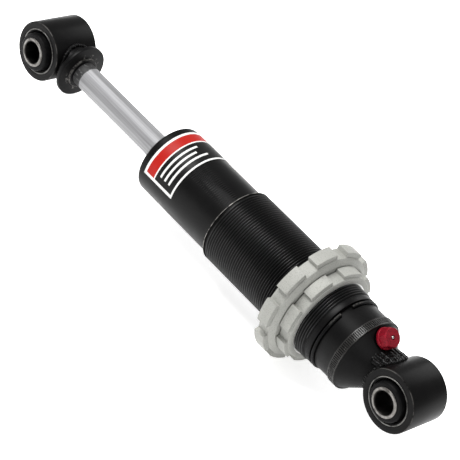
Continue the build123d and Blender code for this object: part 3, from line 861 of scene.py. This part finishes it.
# --- Dust cap and wiper -------------------------------------------------------------------
# The mouth of the tube: a pressed steel cap stands in it, and the wiper's rubber lip
# closes on the rod behind that.
dust_low, dust_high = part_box("dust_cap")
dust_radius = dust_high.z
dust_hole = rod_radius + 1.0 * mm
dust_wall = 1.2 * mm
dust_outline = [
    (dust_low.x, dust_radius - dust_wall), (dust_low.x, dust_radius), (dust_high.x, dust_radius),
    (dust_high.x, dust_hole), (dust_high.x - dust_wall, dust_hole),
    (dust_high.x - dust_wall, dust_radius - dust_wall)]
dust_cap = turned("dust_cap_pressing", dust_outline + dust_outline[:1], 128)
ease(dust_cap, 0.3 * mm)
fit(dust_cap, black_enamel("dust_cap_enamel", roughness=0.45), "damper_body", "black_paint", "dust_cap")

wiper_low, wiper_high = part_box("rod_wiper")
wiper_bore = rod_radius + 0.05 * mm
wiper_neck = wiper_bore + 1.6 * mm
wiper_back = wiper_high.x - 1.2 * mm
wiper_outline = [
    (wiper_low.x, wiper_neck), (wiper_low.x, wiper_high.z), (wiper_back, wiper_high.z),
    (wiper_back, wiper_neck), (wiper_high.x, wiper_bore), (wiper_back, wiper_bore)]
wiper = turned("rod_wiper_lip", wiper_outline + wiper_outline[:1], 96)
ease(wiper, 0.12 * mm)
fit(wiper, rubber, "damper_body", "seal_rubber", "rod_wiper")

# --- Label --------------------------------------------------------------------------------
# Printed film, stuck round the upper skirt: a white border, a red band on the side of the
# rod, and a black panel. Plain bars stand where rows of print would be.
label_low, label_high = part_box("label")
film_radius = skirt_radius + 0.02 * mm
film_thickness = 0.15 * mm
film_first = math.radians(-2)
film_sweep = math.radians(136)
film_steps = 80
film_width = label_high.x - label_low.x
film = draw("label_film_strip", [
    (label_low.x + film_width * step / 12, film_radius * math.cos(film_first),
     film_radius * math.sin(film_first)) for step in range(13)])
bpy.ops.mesh.select_all(action="SELECT")
bpy.ops.mesh.spin(steps=film_steps, angle=film_sweep, center=(0, 0, 0), axis=(-1, 0, 0))
close_up()
modify(film, "SOLIDIFY", thickness=film_thickness, offset=1.0)
bpy.ops.object.shade_smooth_by_angle(angle=math.radians(40))

label_film, shader, place = new_finish("label_film", Specular_IOR_Level=0.1)
down = label_high.x - place.part("X")
across = place.sum("ARCTAN2", place.part("Z"), place.part("Y"))
round_tube = across * skirt_radius - film_first * skirt_radius
film_length = film_sweep * skirt_radius


def between(value, low, high):
    return (value > low) * (value < high)


side_border = 1.7 * mm
inside = between(round_tube, side_border, film_length - side_border)
red_band = between(down, 1.5 * mm, 7.4 * mm) * inside
panel_top = 8.2 * mm
panel = between(down, panel_top, 21.7 * mm) * inside
bar_height = 1.3 * mm
bar_start = side_border + 3.5 * mm
bars = 0.0
for bar_top, bar_end in ((2.4 * mm, 30.0 * mm), (5.7 * mm, 27.0 * mm), (9.0 * mm, 32.0 * mm)):
    bar = between(down, panel_top + bar_top, panel_top + bar_top + bar_height)
    bars = bars + bar * between(round_tube, bar_start, side_border + bar_end)
ink = red_band.mixed((0.66, 0.66, 0.65), (0.34, 0.010, 0.006))
ink = panel.mixed(ink, (0.003, 0.003, 0.003))
ink = (panel * bars).mixed(ink, (0.64, 0.64, 0.63))
coat(shader, place.grain(2.5 * mm, 2), 0.01 * mm,
     Base_Color=(place.grain(4 * mm) * 0.25).mixed(ink, (0.006, 0.005, 0.005)),
     Roughness=0.36 + 0.12 * place.grain(5 * mm))
fit(film, label_film, "damper_body", "label_film", "label")

# --- Pieces inside the tube -----------------------------------------------------------------
# The piston stack, the seal head, the floating piston and the gas valve's core. They keep
# their CAD shapes, and each metal, rubber and plastic has a finish of its own.


def inner_finish(name, low, high, size, roughness, metallic=0.0, depth=0.02):
    """A finish in two tones of one colour, with a grain of that size in millimetres."""
    finish, shader, place = new_finish(name, Metallic=metallic)
    grain = place.grain(size * mm, 4)
    coat(shader, grain, depth * mm, Base_Color=grain.rise(0.3, 0.7).mixed(low, high),
         Roughness=roughness + 0.2 * place.grain(3 * size * mm))
    return finish


bare_aluminium = inner_finish("bare_aluminium", (0.48, 0.49, 0.50), (0.66, 0.67, 0.68), 0.6, 0.28, 1.0)
bronze = inner_finish("bronze", (0.42, 0.25, 0.10), (0.58, 0.38, 0.17), 0.5, 0.30, 1.0)
brass = inner_finish("brass", (0.55, 0.39, 0.12), (0.70, 0.52, 0.20), 0.4, 0.26, 1.0)
spring_steel = inner_finish("spring_steel", (0.16, 0.17, 0.19), (0.30, 0.31, 0.33), 0.5, 0.30, 1.0)
plated_steel = inner_finish("plated_steel", (0.42, 0.41, 0.38), (0.60, 0.58, 0.54), 0.6, 0.28, 1.0)
filled_ptfe = inner_finish("filled_ptfe", (0.03, 0.035, 0.03), (0.07, 0.075, 0.065), 0.4, 0.42)
seal_rubber = inner_finish("seal_rubber", (0.008, 0.008, 0.009), (0.02, 0.02, 0.02), 0.4, 0.55)
inside_pieces = {
    "seal_head": bare_aluminium, "piston": bare_aluminium, "floating_piston": bare_aluminium,
    "rod_bushing": bronze, "valve_core": brass, "piston_band": filled_ptfe,
    "compression_shims": spring_steel, "rebound_shims": spring_steel, "head_circlip": spring_steel,
    "piston_washers": plated_steel, "piston_nut": plated_steel, "top_out_bumper": seal_rubber,
    "end_cap_oring": seal_rubber, "seal_head_oring": seal_rubber,
    "floating_piston_oring": seal_rubber, "rod_seal": seal_rubber}
for name, finish in inside_pieces.items():
    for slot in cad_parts[name].material_slots:
        slot.material = finish

# --- Floor and light --------------------------------------------------------------------------
# A plain white floor under the shock, lit through from below like a light table, one
# soft box above, and two fills.
floor_size = 6.0
bpy.ops.object.select_all(action="DESELECT")
bpy.ops.mesh.primitive_plane_add(size=floor_size, location=(0.15, 0, cad_box[0][2]))
floor = bpy.context.object
floor.name = "floor"
bpy.ops.object.transform_apply(location=True, rotation=False, scale=False)
paper, shader, place = new_finish("floor_paper", Specular_IOR_Level=0.1, Emission_Color=(1, 1, 1, 1),
                                  Emission_Strength=0.60)
coat(shader, place.grain(8 * mm), 0.02 * mm,
     Base_Color=place.grain(60 * mm).mixed((0.90, 0.90, 0.90), (0.92, 0.92, 0.92)),
     Roughness=0.9 + 0.05 * place.grain(20 * mm))
floor.data.materials.append(paper)


def soft_box(name, place, target, size, power):
    """A square area light that faces its target."""
    bpy.ops.object.select_all(action="DESELECT")
    direction = Vector(target) - Vector(place)
    bpy.ops.object.light_add(type="AREA", location=place,
                             rotation=direction.to_track_quat("-Z", "Y").to_euler())
    light = bpy.context.object
    light.name = name
    light.data.shape = "SQUARE"
    light.data.size = size
    light.data.energy = power


middle = (0.14, 0, 0)
soft_box("key_light", (0.62, 0.36, 1.12), middle, 0.6, 24)
soft_box("fill_light", (-1.2, 0.35, 0.65), middle, 0.9, 7)
soft_box("back_light", (0.3, -1.2, 0.8), middle, 0.9, 8)
world = bpy.data.worlds.new("studio")
world.use_nodes = True
world.node_tree.nodes["Background"].inputs["Color"].default_value = (1, 1, 1, 1)
world.node_tree.nodes["Background"].inputs["Strength"].default_value = 0.5
bpy.context.scene.world = world
bpy.context.scene.view_settings.view_transform = "Standard"
